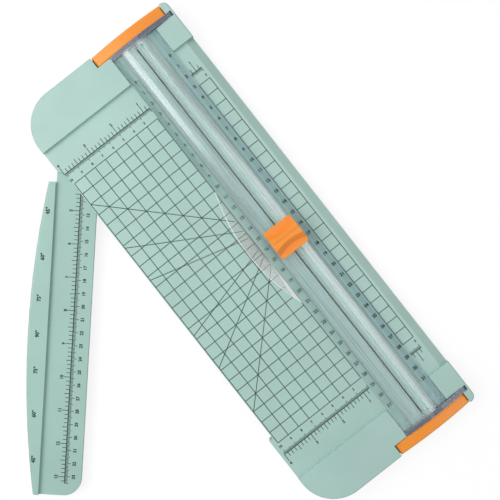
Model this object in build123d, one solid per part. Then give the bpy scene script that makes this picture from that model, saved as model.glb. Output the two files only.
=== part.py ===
"""Desk paper cutter: a bed with a lifting clear rail, a sliding press cutter and a swing-out ruler.

Millimetres, +Z up. The cutter is modelled with X measured from the cut line (left is negative, towards the
ruler) and Y from the middle of the bed, standing on Z = 0. At the end everything is moved so that the origin
lies in the middle of the whole part's footprint.
"""

from build123d import *
from math import cos, dist, hypot, pi, sin
import os

# Base tray
BASE_LENGTH = 382.0
LEFT_REACH = 104.4
RIGHT_REACH = 39.7
EDGE_INSET = 3.4
END_LENGTH = 34.8
STANDING_GAP = 1.5
BED_HEIGHT = 12.0
END_RISE = 3.0
PLATE = 2.5
WALL = 2.5
RIB = 2.0
RIB_INSET = 2.5
LEFT_CORNER = 30.0
RIGHT_CORNER = 5.0
SLOPE_WIDTH = 6.7
SLOPE_DROP = 4.2
EASE_LENGTH = 7.0
TOP_EDGE = 0.8
CROSS_RIB_COUNT = 4

# Cut line
GROOVE_WIDTH = 1.2
GROOVE_DEPTH = 1.8
STRIP_DEPTH = 1.6
GROOVE_BAR = 8.0

# Rubber feet
FOOT_RADIUS = 7.0
FOOT_SEAT = 1.5
FOOT_RIM = 1.8
LEFT_FOOT_INSET = 26.0
RIGHT_FOOT_INSET = 16.0
LEFT_FOOT_END = 19.0
RIGHT_FOOT_END = 43.0

# Ruler arm, measured from its pivot
PIVOT_INSET = 17.2
RULER_LENGTH = 257.0
RULER_BACK = 14.0
RULER_FRONT = 17.5
RULER_HEAD = 14.0
RULER_THICKNESS = 2.5
RULER_CORNER = 13.0
GRIP_CLEAR = 1.4
GRIP_NEAR = 5.7
GRIP_MIDDLE = 15.2
GRIP_FAR = 4.5
GRIP_EDGE = 2.0
RULER_SWING_DEGREES = 41.38
BOSS_RADIUS = 5.0
WASHER_RADIUS = 8.0
WASHER_THICKNESS = 1.0
SCREW_RADIUS = 1.5
SCREW_HEAD_RADIUS = 3.0
SCREW_HEAD_HEIGHT = 1.8
SCREW_LENGTH = 5.0

# Clear rail
PAPER_GAP = 0.4
RAIL_WIDTH = 39.5
FLANGE = 2.0
HAT_WIDTH = 25.2
CROWN_WIDTH = 11.2
HAT_HEIGHT = 5.2
HAT_WALL = 2.0
SHOULDER_BULGE = 0.8
SLOT_WIDTH = 1.2
SLOT_END = 3.2
END_PLATE = 3.6
PLATE_EDGE_RISE = 3.0
TAB_LENGTH = 108.0
TAB_REACH = 10.0
TAB_DIP = 0.8
TAB_EASE = 2.0
TAB_RISE = 1.0
TAB_THICKNESS = 1.2
TAB_EDGE = 0.6
PEG_RADIUS = 1.0
PEG_RISE = 1.1
PEG_LENGTH = 4.0
PEG_SPACING = 26.0
RAIL_RIGHT_GAP = 1.25

# Hinge of the rail
HINGE_INSET = 4.7
HINGE_DROP = 2.5
PIN_RADIUS = 1.5
PIN_LENGTH = 22.0
PIN_SUNK = 0.4
LOBE_RADIUS = 2.7

# Orange end arms
ARM_WIDTH = 9.2
ARM_INSET = 0.2
ARM_OVERLAP = 11.65
ARM_SETBACK = 1.7
ARM_SUNK = 4.0
ARM_ARCH = 1.2
ARM_END_DROP = 2.0
ARM_END_GAP = 0.6
ARM_EDGE = 0.8

# Cutter
CUTTER_ALONG = -6.5
CUTTER_OFFSET = 0.6
CAP_WIDTH = 24.4
CAP_LENGTH = 24.2
CAP_WALL = 1.3
CAP_CORNER = 1.6
CAP_STANDING = 1.0
CAP_ROOF = 2.0
PRESS_TRAVEL = 3.0
CREST_WIDTH = 5.0
CREST_RISE = 3.6
CREST_ROOF = 2.0
CREST_GROOVE = 0.5
CREST_GROOVE_RADIUS = 3.0
DISH_RADIUS = 32.4
DISH_SLOPE = 4.0
GUIDE_PLATE = 3.4
GUIDE_SKIRT = 2.4
KEEL_OFFSET = 4.8
KEEL_WIDTH = 1.8
KEEL_FOOT = 3.0
KEEL_FOOT_HEIGHT = 1.3
KEEL_LENGTH = 18.0
KEEL_LIP = 1.4
TROUGH_WALL = 1.2
CATCH_WIDTH = 6.0
CATCH_HEIGHT = 1.2
CATCH_PROUD = 1.0
CARRIER_THICKNESS = 3.0
CARRIER_LENGTH = 11.0
TENON_THICKNESS = 2.0
TENON_LENGTH = 4.0
TENON_HEIGHT = 2.0
BLADE_THICKNESS = 0.5
BLADE_WIDTH = 9.2
BLADE_TIP_WIDTH = 1.2
BLADE_TIP_GAP = 1.5
BLADE_TAPER = 5.5
BLADE_ROOM = 0.4
BLADE_PIN_RADIUS = 0.6
SPRING_SPACING = 12.0
SPRING_RADIUS = 2.2
SPRING_WIRE = 0.3
SPRING_TURNS = 4
SPRING_WIRE_SIDES = 6
SPRING_POINTS_PER_TURN = 24
SPRING_SEAT_RADIUS = 1.5
SPRING_SEAT_HEIGHT = 1.2

# Clearances, and how far a cut overruns what it cuts
SIDE_GAP = 0.3
RUN_GAP = 0.35
SEAT_GAP = 0.05
RUNNING_FIT = 0.06
PRESS_FIT = 0.02
PRESS_CLEAR = 0.4
POST_GAP = 0.8
POCKET_GAP = 2.5
END_GAP = 3.0
OVERRUN = 1.0

# Levels above the table
ceiling = BED_HEIGHT - PLATE
end_top = BED_HEIGHT + END_RISE
ruler_top = ceiling - SIDE_GAP
ruler_under = ruler_top - RULER_THICKNESS
boss_under = ruler_under - SIDE_GAP
rail_under = BED_HEIGHT + PAPER_GAP
flange_top = rail_under + FLANGE
hat_top = rail_under + HAT_HEIGHT
peg_height = rail_under + PEG_RISE
arm_under = BED_HEIGHT - ARM_SUNK
notch_floor = arm_under - PRESS_CLEAR
hinge_height = end_top - HINGE_DROP
groove_floor = BED_HEIGHT - GROOVE_DEPTH - STRIP_DEPTH
strip_top = groove_floor + STRIP_DEPTH
guide_under = hat_top + RUN_GAP
guide_top = guide_under + GUIDE_PLATE
cap_under = hat_top + CAP_STANDING
cap_ceiling = guide_top + PRESS_TRAVEL + PRESS_CLEAR
dish_floor = cap_ceiling + CAP_ROOF
crest_top = dish_floor + CREST_RISE
bore_top = crest_top - CREST_ROOF
carrier_under = hat_top + PRESS_TRAVEL + PRESS_CLEAR
blade_tip = rail_under + BLADE_TIP_GAP
blade_top = cap_ceiling - BLADE_ROOM
lip_under = hat_top - KEEL_LIP
chamber_floor = lip_under - KEEL_FOOT_HEIGHT - 2 * SIDE_GAP

# Places along the bed
base_end = BASE_LENGTH / 2
bed_end = base_end - END_LENGTH
arm_back = base_end - ARM_INSET
arm_front = arm_back - ARM_WIDTH
plate_front = arm_front - END_PLATE
slot_reach = plate_front - SLOT_END
pin_back = base_end - PIN_SUNK
pin_front = pin_back - PIN_LENGTH
end_room = plate_front - SIDE_GAP - WALL

# Places across the bed
bed_left = -LEFT_REACH + EDGE_INSET
rail_half = RAIL_WIDTH / 2
channel_left = -rail_half - SIDE_GAP
channel_right = rail_half + RAIL_RIGHT_GAP
hinge_across = RIGHT_REACH - HINGE_INSET
lobe_room = LOBE_RADIUS + PRESS_CLEAR
arm_left = -rail_half - ARM_OVERLAP
arm_right = hinge_across - ARM_SETBACK
notch_left = arm_left - ARM_END_GAP
post_left = arm_right + POST_GAP

# Ruler pivot and the pocket that the ruler folds into
pivot_across = bed_left - SIDE_GAP + RULER_BACK
pivot_along = bed_end - PIVOT_INSET
grip_start = RULER_BACK + EDGE_INSET + GRIP_CLEAR
recess_near = pivot_along - RULER_LENGTH - END_GAP
recess_far = pivot_along - EASE_LENGTH
pocket_far = pivot_along + max(RULER_BACK, RULER_HEAD) + POCKET_GAP
pocket_right = pivot_across + max(RULER_FRONT, RULER_HEAD) + POCKET_GAP

# Feet, each in a ring under the plate. A left foot that would stand in the pocket stands beside its rib
foot_ring = FOOT_RADIUS + FOOT_RIM


def left_foot_place(along):
    """Where a left foot stands at this place along the bed."""
    in_pocket = recess_near - RIB - foot_ring < along < pocket_far + RIB + foot_ring
    return (pocket_right + RIB + foot_ring if in_pocket else LEFT_FOOT_INSET - LEFT_REACH, along)


FEET = {
    "foot_far_left": left_foot_place(base_end - LEFT_FOOT_END),
    "foot_far_right": (RIGHT_REACH - RIGHT_FOOT_INSET, base_end - RIGHT_FOOT_END),
    "foot_near_left": left_foot_place(LEFT_FOOT_END - base_end),
    "foot_near_right": (RIGHT_REACH - RIGHT_FOOT_INSET, RIGHT_FOOT_END - base_end),
}
SPRINGS = {
    "press_spring_left": CUTTER_OFFSET - SPRING_SPACING / 2,
    "press_spring_right": CUTTER_OFFSET + SPRING_SPACING / 2,
}


def block(left, right, near, far, bottom, top):
    """A box between six planes."""
    middle = ((left + right) / 2, (near + far) / 2, (bottom + top) / 2)
    return Pos(*middle) * Box(right - left, far - near, top - bottom)


def upright(radius, across, along, bottom, top):
    """A round bar along Z."""
    return Pos(across, along, (bottom + top) / 2) * Cylinder(radius, top - bottom)


def lengthwise(radius, across, height, near, far):
    """A round bar along Y."""
    return Pos(across, (near + far) / 2, height) * Rot(90, 0, 0) * Cylinder(radius, far - near)


def crosswise(radius, along, height, left, right):
    """A round bar along X."""
    return Pos((left + right) / 2, along, height) * Rot(0, 90, 0) * Cylinder(radius, right - left)


def carried(outline, near, far):
    """An outline drawn in X and Z, carried along Y from near to far."""
    return Pos(0, far, 0) * extrude(Plane.XZ * outline, amount=far - near)


def raised(outline, bottom, top):
    """An outline drawn in X and Y, raised from bottom to top."""
    return Pos(0, 0, bottom) * extrude(outline, amount=top - bottom)


def far_end_and_near_end(solid):
    """A solid at the far end of the bed, with its mirror image at the near end."""
    return [solid, mirror(solid, about=Plane.XZ)]


def base_outline():
    """The tray from above: wide curves on the ruler's side, tight ones on the hinge's side."""
    outline = Pos((RIGHT_REACH - LEFT_REACH) / 2, 0) * Rectangle(LEFT_REACH + RIGHT_REACH, BASE_LENGTH)
    outline = fillet(outline.vertices().sort_by(Axis.X)[:2], LEFT_CORNER)
    return fillet(outline.vertices().sort_by(Axis.X)[-2:], RIGHT_CORNER)


def edge_recess():
    """What is cut from the left side so that the ruler's grip lies along the bed's edge."""
    outside = -LEFT_REACH - OVERRUN
    start = (bed_left, recess_far)
    end = (-LEFT_REACH, recess_far + EASE_LENGTH)
    side = [
        Line((bed_left, recess_near), start),
        TangentArc(start, end, tangent=(0, 1)),
        Polyline(end, (outside, end[1]), (outside, recess_near), (bed_left, recess_near)),
    ]
    return raised(make_face(side), 0, end_top + OVERRUN)


def edge_slope():
    """The wedge taken off the right edge between the raised ends."""
    drop = SLOPE_DROP * (SLOPE_WIDTH + OVERRUN) / SLOPE_WIDTH
    start = RIGHT_REACH - SLOPE_WIDTH
    outside = RIGHT_REACH + OVERRUN
    wedge = Polygon(
        (start, BED_HEIGHT),
        (outside, BED_HEIGHT - drop),
        (outside, BED_HEIGHT + OVERRUN),
        (start, BED_HEIGHT + OVERRUN),
        align=None,
    )
    return carried(wedge, -bed_end, bed_end)


def underside_hollow():
    """The space under the plate, without the walls, ribs, bar and bosses that cross it."""
    inside = offset(base_outline(), amount=-WALL)
    hollow = raised(inside, 0, ceiling)
    rib_under = STANDING_GAP + RIB_INSET
    right_wall = RIGHT_REACH - SLOPE_WIDTH - RIB
    hollow -= block(right_wall, RIGHT_REACH, -base_end, base_end, 0, end_top)
    for solid in far_end_and_near_end(
        block(notch_left - WALL, RIGHT_REACH, end_room, base_end, notch_floor - PLATE, end_top)
    ):
        hollow -= solid
    for solid in far_end_and_near_end(
        block(notch_left - WALL, RIGHT_REACH, end_room, end_room + RIB, 0, end_top)
    ):
        hollow -= solid
    hollow -= block(pocket_right, pocket_right + RIB, recess_near - RIB, pocket_far + RIB, 0, end_top)
    hollow -= block(-LEFT_REACH, pocket_right, pocket_far, pocket_far + RIB, 0, end_top)
    hollow -= block(-LEFT_REACH, pocket_right, recess_near - RIB, recess_near, 0, end_top)
    bar_under = groove_floor - PLATE
    hollow -= block(-GROOVE_BAR / 2, GROOVE_BAR / 2, -end_room, end_room, bar_under, end_top)
    spacing = 2 * bed_end / (CROSS_RIB_COUNT - 1)
    for number in range(CROSS_RIB_COUNT):
        along = -bed_end + number * spacing
        hollow -= block(pocket_right, right_wall, along - RIB / 2, along + RIB / 2, rib_under, end_top)
    for across, along in FEET.values():
        hollow -= upright(foot_ring, across, along, 0, end_top)
    return hollow


def make_base_tray():
    """One moulding: bed, raised ends, hinge posts and the ribbed underside."""
    tray = raised(base_outline(), STANDING_GAP, end_top)
    rim = tray.faces().sort_by(Axis.Z)[-1].edges()
    tray = chamfer(rim, TOP_EDGE)
    tray -= block(-LEFT_REACH, RIGHT_REACH, -bed_end, bed_end, BED_HEIGHT, end_top)
    tray -= block(channel_left, channel_right, -base_end, base_end, BED_HEIGHT, end_top)
    tray -= edge_slope()
    tray -= edge_recess()
    tray -= underside_hollow()
    tray -= block(-LEFT_REACH, pocket_right, recess_near, pocket_far, 0, ceiling)
    notch = block(notch_left, post_left, arm_front - SIDE_GAP, base_end, notch_floor, end_top)
    slot_far = arm_front + SIDE_GAP
    slot_near = plate_front - SIDE_GAP
    slot_floor = hinge_height - lobe_room
    slot = block(channel_right, hinge_across + lobe_room, slot_near, slot_far, slot_floor, end_top)
    hole = lengthwise(PIN_RADIUS + PRESS_FIT, hinge_across, hinge_height, pin_front, base_end)
    for cut in (notch, slot, hole):
        for solid in far_end_and_near_end(cut):
            tray -= solid
    tray -= block(-GROOVE_WIDTH / 2, GROOVE_WIDTH / 2, -slot_reach, slot_reach, groove_floor, end_top)
    tray += upright(BOSS_RADIUS, pivot_across, pivot_along, boss_under, ceiling)
    tray -= upright(SCREW_RADIUS + SEAT_GAP, pivot_across, pivot_along, 0, boss_under + SCREW_LENGTH)
    for across, along in FEET.values():
        tray -= upright(FOOT_RADIUS + SEAT_GAP, across, along, 0, STANDING_GAP + FOOT_SEAT)
    return tray


def make_cutting_strip():
    """The dark strip at the bottom of the groove, under the blade's path."""
    half = GROOVE_WIDTH / 2 - SEAT_GAP
    reach = slot_reach - SEAT_GAP
    return block(-half, half, -reach, reach, groove_floor, strip_top)


def make_foot(across, along):
    """A rubber foot with a softened lower rim, seated in its ring."""
    foot = upright(FOOT_RADIUS, across, along, 0, STANDING_GAP + FOOT_SEAT)
    return chamfer(foot.faces().sort_by(Axis.Z)[0].edges(), STANDING_GAP / 2)


def in_ruler_pose(solid):
    """Carry a solid drawn at the pivot, folded along the bed, to where the ruler stands swung out."""
    return Pos(pivot_across, pivot_along, 0) * Rot(0, 0, -RULER_SWING_DEGREES) * solid


def make_ruler_arm():
    """The ruler: a thin blade under the bed plate and a thick curved grip outside it, level with the bed."""
    width = RULER_BACK + RULER_FRONT
    length = RULER_LENGTH + RULER_HEAD
    middle = ((RULER_FRONT - RULER_BACK) / 2, (RULER_HEAD - RULER_LENGTH) / 2)
    blade = Pos(*middle) * Rectangle(width, length)
    blade = fillet(blade.vertices().sort_by(Axis.Y)[-2:], min(RULER_HEAD, RULER_BACK) - SIDE_GAP)
    blade = fillet(blade.vertices().sort_by(Axis.Y)[:2].sort_by(Axis.X)[-1:], RULER_CORNER)
    arm = raised(blade, ruler_under, ruler_top)
    near = (-RULER_BACK, -grip_start)
    far = (-RULER_BACK, -RULER_LENGTH)
    near_edge = (-RULER_BACK - GRIP_NEAR, -grip_start)
    far_edge = (-RULER_BACK - GRIP_FAR, -RULER_LENGTH)
    bulge = (-RULER_BACK - GRIP_MIDDLE, -(grip_start + RULER_LENGTH) / 2)
    side = [
        Line(near, near_edge),
        ThreePointArc(near_edge, bulge, far_edge),
        Polyline(far_edge, far, near),
    ]
    grip = raised(make_face(side), ruler_under, BED_HEIGHT)
    outer = grip.edges().filter_by(GeomType.CIRCLE).sort_by(Axis.Z)[-1]
    arm += fillet(outer, GRIP_EDGE)
    arm -= upright(BOSS_RADIUS + RUNNING_FIT, 0, 0, 0, end_top)
    return in_ruler_pose(arm)


def make_ruler_washer():
    """The washer that keeps the ruler on its boss."""
    washer = upright(WASHER_RADIUS, pivot_across, pivot_along, boss_under - WASHER_THICKNESS, boss_under)
    return washer - upright(SCREW_RADIUS + SEAT_GAP, pivot_across, pivot_along, 0, end_top)


def make_ruler_screw():
    """The screw from below that holds the washer."""
    seat = boss_under - WASHER_THICKNESS
    head = upright(SCREW_HEAD_RADIUS, pivot_across, pivot_along, seat - SCREW_HEAD_HEIGHT, seat)
    head = chamfer(head.faces().sort_by(Axis.Z)[0].edges(), SCREW_HEAD_HEIGHT / 2)
    shank_top = boss_under + SCREW_LENGTH - SEAT_GAP
    return head + upright(SCREW_RADIUS, pivot_across, pivot_along, seat, shank_top)


def hat_outline():
    """The hat's outer section, standing on a foot that reaches a wall's thickness below the rail."""
    foot = HAT_WIDTH / 2
    crown = CROWN_WIDTH / 2
    low = rail_under - HAT_WALL - OVERRUN
    run = hypot(foot - crown, hat_top - flange_top)
    middle = (
        (foot + crown) / 2 + SHOULDER_BULGE * (hat_top - flange_top) / run,
        (flange_top + hat_top) / 2 + SHOULDER_BULGE * (foot - crown) / run,
    )
    side = [
        Polyline((-foot, flange_top), (-foot, low), (foot, low), (foot, flange_top)),
        ThreePointArc((foot, flange_top), middle, (crown, hat_top)),
        Line((crown, hat_top), (-crown, hat_top)),
        ThreePointArc((-crown, hat_top), (-middle[0], middle[1]), (-foot, flange_top)),
    ]
    return make_face(side)


def end_plate_outline():
    """An end plate: an arch from the rail's left side to the lobe on the hinge."""
    left_top = (-rail_half, rail_under + PLATE_EDGE_RISE)
    lobe_top = (hinge_across, hinge_height + LOBE_RADIUS)
    middle = ((hinge_across - rail_half) / 2, hat_top)
    side = [
        Polyline((hinge_across, rail_under), (-rail_half, rail_under), left_top),
        ThreePointArc(left_top, middle, lobe_top),
        Line(lobe_top, (hinge_across, rail_under)),
    ]
    return make_face(side) + Pos(hinge_across, hinge_height) * Circle(LOBE_RADIUS)


def finger_tab():
    """The lens-shaped tab on the rail's left side: it dips at its root, then slopes up for a finger."""
    root = -rail_half
    tip = root - TAB_REACH
    half = TAB_LENGTH / 2
    far = (root, half)
    near = (root, -half)
    inside = root + FLANGE
    lens = [ThreePointArc(far, (tip, 0), near), Polyline(near, (inside, -half), (inside, half), far)]
    dip = root - TAB_EASE
    dip_top = flange_top - TAB_DIP
    outside = tip - OVERRUN
    outside_top = dip_top + TAB_RISE * (dip - outside) / (dip - tip)
    section = Polygon(
        (inside, rail_under),
        (inside, flange_top),
        (root, flange_top),
        (dip, dip_top),
        (outside, outside_top),
        (outside, outside_top - TAB_THICKNESS),
        (dip, rail_under),
        align=None,
    )
    tab = raised(make_face(lens), 0, outside_top) & carried(section, -half, half)
    rim = tab.edges().filter_by(GeomType.ELLIPSE).sort_by(SortBy.LENGTH)[-2:].sort_by(Axis.Z)[-1]
    return chamfer(rim, TAB_EDGE)


def make_clear_rail():
    """The clear rail: flanges, hollow hat with the blade's slot and the keel's trough, tab and end plates."""
    hat = hat_outline()
    below = Pos(0, rail_under / 2) * Rectangle(2 * RAIL_WIDTH, rail_under)
    flanges = Pos(0, (rail_under + flange_top) / 2) * Rectangle(RAIL_WIDTH, FLANGE)
    trough_half = KEEL_FOOT / 2 + SIDE_GAP + TROUGH_WALL
    trough_under = chamber_floor - TROUGH_WALL
    trough_middle = (trough_under + lip_under) / 2
    trough = Pos(KEEL_OFFSET, trough_middle) * Rectangle(2 * trough_half, lip_under - trough_under)
    section = hat + flanges - offset(hat, amount=-HAT_WALL) + (trough & hat) - below
    rail = carried(section, -plate_front, plate_front)
    mouth = KEEL_WIDTH / 2 + SIDE_GAP
    chamber = KEEL_FOOT / 2 + SIDE_GAP
    slot = SLOT_WIDTH / 2
    rail -= block(-slot, slot, -slot_reach, slot_reach, rail_under, hat_top)
    keel_room = block(-mouth, mouth, -slot_reach, slot_reach, chamber_floor, hat_top)
    keel_room += block(-chamber, chamber, -slot_reach, slot_reach, chamber_floor, lip_under)
    rail -= Pos(KEEL_OFFSET, 0, 0) * keel_room
    rail += finger_tab()
    plate = carried(end_plate_outline(), plate_front, arm_front)
    plate -= lengthwise(PIN_RADIUS + RUNNING_FIT, hinge_across, hinge_height, plate_front, arm_front)
    for across in (-PEG_SPACING / 2, PEG_SPACING / 2):
        plate += lengthwise(PEG_RADIUS, across, peg_height, arm_front, arm_front + PEG_LENGTH)
    for solid in far_end_and_near_end(plate):
        rail += solid
    return rail


def make_end_arm():
    """An arched end piece on the far end plate, with blind holes for the plate's pegs."""
    middle = ((arm_left + arm_right) / 2, end_top + ARM_ARCH)
    left_top = (arm_left, end_top - ARM_END_DROP)
    right_top = (arm_right, end_top - ARM_END_DROP)
    side = [
        ThreePointArc(left_top, middle, right_top),
        Polyline(right_top, (arm_right, arm_under), (arm_left, arm_under), left_top),
    ]
    arm = carried(make_face(side), arm_front, arm_back)
    top = arm.faces().filter_by(GeomType.CYLINDER).sort_by(Axis.Z)[-1]
    arm = chamfer(top.edges(), ARM_EDGE)
    hole_end = arm_front + PEG_LENGTH + SEAT_GAP
    for across in (-PEG_SPACING / 2, PEG_SPACING / 2):
        arm -= lengthwise(PEG_RADIUS + SEAT_GAP, across, peg_height, arm_front, hole_end)
    return arm


def make_hinge_pin():
    """The steel pin through the far hinge post, the rail's lobe and the raised end."""
    return lengthwise(PIN_RADIUS, hinge_across, hinge_height, pin_front, pin_back)


def cutter_place(solid):
    """Carry a solid drawn at the middle of the bed to where the cutter stands on the rail."""
    return Pos(0, CUTTER_ALONG, 0) * solid


def make_cutter_guide():
    """The white slider: a saddle on the hat with a keel captive in the rail's trough."""
    half_width = CAP_WIDTH / 2 - CAP_WALL - SIDE_GAP
    half_length = CAP_LENGTH / 2 - CAP_WALL - SIDE_GAP
    left = CUTTER_OFFSET - half_width
    right = CUTTER_OFFSET + half_width
    guide = block(left, right, -half_length, half_length, hat_top - GUIDE_SKIRT, guide_top)
    guide -= carried(offset(hat_outline(), amount=RUN_GAP), -CAP_LENGTH, CAP_LENGTH)
    keel = KEEL_WIDTH / 2
    foot = KEEL_FOOT / 2
    reach = KEEL_LENGTH / 2
    foot_under = chamber_floor + SIDE_GAP
    foot_top = foot_under + KEEL_FOOT_HEIGHT
    guide += block(KEEL_OFFSET - keel, KEEL_OFFSET + keel, -reach, reach, foot_under, guide_top)
    guide += block(KEEL_OFFSET - foot, KEEL_OFFSET + foot, -reach, reach, foot_under, foot_top)
    room = CARRIER_THICKNESS / 2 + RUN_GAP
    room_length = CARRIER_LENGTH / 2 + RUN_GAP
    for across in SPRINGS.values():
        guide += upright(SPRING_SEAT_RADIUS, across, 0, guide_top, guide_top + SPRING_SEAT_HEIGHT)
    guide += block(
        left - CATCH_PROUD,
        right + CATCH_PROUD,
        -CATCH_WIDTH / 2,
        CATCH_WIDTH / 2,
        guide_top - CATCH_HEIGHT,
        guide_top,
    )
    guide -= block(-room, room, -room_length, room_length, 0, guide_top)
    return cutter_place(guide)


def make_cutter_cap():
    """The press cap: a hollow block over the hat, with two thumb dishes and a grooved crest between them."""
    outline = fillet(Rectangle(CAP_WIDTH, CAP_LENGTH).vertices(), CAP_CORNER)
    cap = raised(outline, cap_under, crest_top)
    top_radius = DISH_RADIUS + DISH_SLOPE
    dish = Pos(0, CREST_WIDTH / 2 + top_radius, (dish_floor + crest_top) / 2) * Cone(
        DISH_RADIUS, top_radius, CREST_RISE
    )
    for solid in far_end_and_near_end(dish):
        cap -= solid
    half_width = CAP_WIDTH / 2 - CAP_WALL
    half_length = CAP_LENGTH / 2 - CAP_WALL
    cap -= block(-half_width, half_width, -half_length, half_length, cap_under, cap_ceiling)
    window_half = CATCH_WIDTH / 2 + SIDE_GAP
    window_under = guide_top - CATCH_HEIGHT - SEAT_GAP
    window_top = guide_top + PRESS_TRAVEL + SIDE_GAP
    cap -= block(-CAP_WIDTH, CAP_WIDTH, -window_half, window_half, window_under, window_top)
    groove_axis = crest_top + CREST_GROOVE_RADIUS - CREST_GROOVE
    cap -= crosswise(CREST_GROOVE_RADIUS, 0, groove_axis, -CAP_WIDTH, CAP_WIDTH)
    cap = Pos(CUTTER_OFFSET, 0, 0) * cap
    rail_room = carried(offset(hat_outline(), amount=PRESS_CLEAR), -CAP_LENGTH, CAP_LENGTH)
    cap -= Pos(0, 0, PRESS_TRAVEL) * rail_room
    for across in SPRINGS.values():
        cap -= upright(SPRING_RADIUS + SPRING_WIRE + SIDE_GAP, across, 0, cap_ceiling, bore_top)
    tenon = TENON_THICKNESS / 2 + SEAT_GAP
    tenon_reach = TENON_LENGTH / 2 + SEAT_GAP
    tenon_top = cap_ceiling + TENON_HEIGHT + SEAT_GAP
    cap -= block(-tenon, tenon, -tenon_reach, tenon_reach, cap_ceiling, tenon_top)
    return cutter_place(cap)


def make_blade_carrier():
    """The holder that hangs from the cap by a tenon and grips the blade in its slit."""
    half = CARRIER_THICKNESS / 2
    reach = CARRIER_LENGTH / 2
    carrier = block(-half, half, -reach, reach, carrier_under, cap_ceiling)
    tenon = TENON_THICKNESS / 2
    tenon_reach = TENON_LENGTH / 2
    carrier += block(-tenon, tenon, -tenon_reach, tenon_reach, cap_ceiling, cap_ceiling + TENON_HEIGHT)
    slit = BLADE_THICKNESS / 2 + SEAT_GAP
    slit_reach = BLADE_WIDTH / 2 + SEAT_GAP
    carrier -= block(-slit, slit, -slit_reach, slit_reach, carrier_under, blade_top + SEAT_GAP)
    carrier -= crosswise(BLADE_PIN_RADIUS + SEAT_GAP, 0, (carrier_under + blade_top) / 2, -half, half)
    return cutter_place(carrier)


def make_cutting_blade():
    """The thin steel blade, pointed below so that it cuts both ways along the rail."""
    half = BLADE_WIDTH / 2
    tip = BLADE_TIP_WIDTH / 2
    shoulder = blade_tip + BLADE_TAPER
    outline = Polygon(
        (-half, blade_top),
        (-half, shoulder),
        (-tip, blade_tip),
        (tip, blade_tip),
        (half, shoulder),
        (half, blade_top),
        align=None,
    )
    blade = extrude(Plane.YZ * outline, amount=BLADE_THICKNESS / 2, both=True)
    hole = BLADE_PIN_RADIUS + SEAT_GAP
    blade -= crosswise(hole, 0, (carrier_under + blade_top) / 2, -CARRIER_THICKNESS, CARRIER_THICKNESS)
    return cutter_place(blade)


def make_blade_pin():
    """The pin through the carrier and the blade."""
    half = CARRIER_THICKNESS / 2
    return cutter_place(crosswise(BLADE_PIN_RADIUS, 0, (carrier_under + blade_top) / 2, -half, half))


def make_press_spring(across):
    """A coil spring between the guide's seat and the cap's bore, one wire wound in quarter turns."""
    bottom = guide_top + SPRING_WIRE + SEAT_GAP
    rise = bore_top - SPRING_WIRE - SEAT_GAP - bottom

    def wire_point(turn):
        angle = 2 * pi * turn
        along = SPRING_RADIUS * sin(angle)
        height = bottom + rise * turn / SPRING_TURNS
        return (across + SPRING_RADIUS * cos(angle), along, height)

    quarters = range(4 * SPRING_TURNS)
    arcs = [ThreePointArc(*(wire_point((n + share) / 4) for share in (0, 1 / 2, 1))) for n in quarters]
    path = Wire(arcs)
    wire = RegularPolygon(SPRING_WIRE, SPRING_WIRE_SIDES)
    spring = sweep(Plane(path @ 0, z_dir=path % 0) * wire, path=path)
    count = SPRING_POINTS_PER_TURN
    points = [wire_point(n / count) for n in range(count * SPRING_TURNS + 1)]
    apart = min(dist(a, b) for n, a in enumerate(points) for b in points[n + count // 2 :])
    print("least gap of the spring to itself", round(apart - 2 * SPRING_WIRE, 2))
    return cutter_place(spring)


arm_far, arm_near = far_end_and_near_end(make_end_arm())
pin_far, pin_near = far_end_and_near_end(make_hinge_pin())
nodes = {
    "base_tray": make_base_tray(),
    "cutting_strip": make_cutting_strip(),
    "ruler_arm": make_ruler_arm(),
    "ruler_washer": make_ruler_washer(),
    "ruler_screw": make_ruler_screw(),
    "clear_rail": make_clear_rail(),
    "end_arm_far": arm_far,
    "end_arm_near": arm_near,
    "hinge_pin_far": pin_far,
    "hinge_pin_near": pin_near,
    "cutter_guide": make_cutter_guide(),
    "cutter_cap": make_cutter_cap(),
    "blade_carrier": make_blade_carrier(),
    "cutting_blade": make_cutting_blade(),
    "blade_pin": make_blade_pin(),
}
for name, place in FEET.items():
    nodes[name] = make_foot(*place)
for name, across in SPRINGS.items():
    nodes[name] = make_press_spring(across)

whole = Compound(children=[Part(solid.wrapped) for solid in nodes.values()]).bounding_box()
middle = whole.center()
to_origin = Pos(-middle.X, -middle.Y, -whole.min.Z)
os.makedirs("parts", exist_ok=True)
for name, solid in nodes.items():
    export_step(to_origin * solid, f"parts/{name}.step")
print("cut line, middle of the bed and table lie at", to_origin.position)
print("whole part measures", whole.size)
print("ruler pivot", to_origin.position + Vector(pivot_across, pivot_along, ruler_under))
print("rail hinge", to_origin.position + Vector(hinge_across, 0, hinge_height))
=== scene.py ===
"""Looks of a desk paper cutter: printed bed, clear lifting rail, sliding cutter and swing-out ruler.

Sizes are in millimetres, apart from the studio's table and panels, which are in metres.
X is measured from the cut line, Y from the middle of the bed and Z from the table.
The camera's place is in the frame's own millimetres, and places on the ruler are measured from its pivot.
"""

import logging
import math
from collections.abc import Iterator
from dataclasses import dataclass
from enum import Enum
from functools import cache

import bmesh
import bpy
from mathutils import Matrix, Vector


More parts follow.
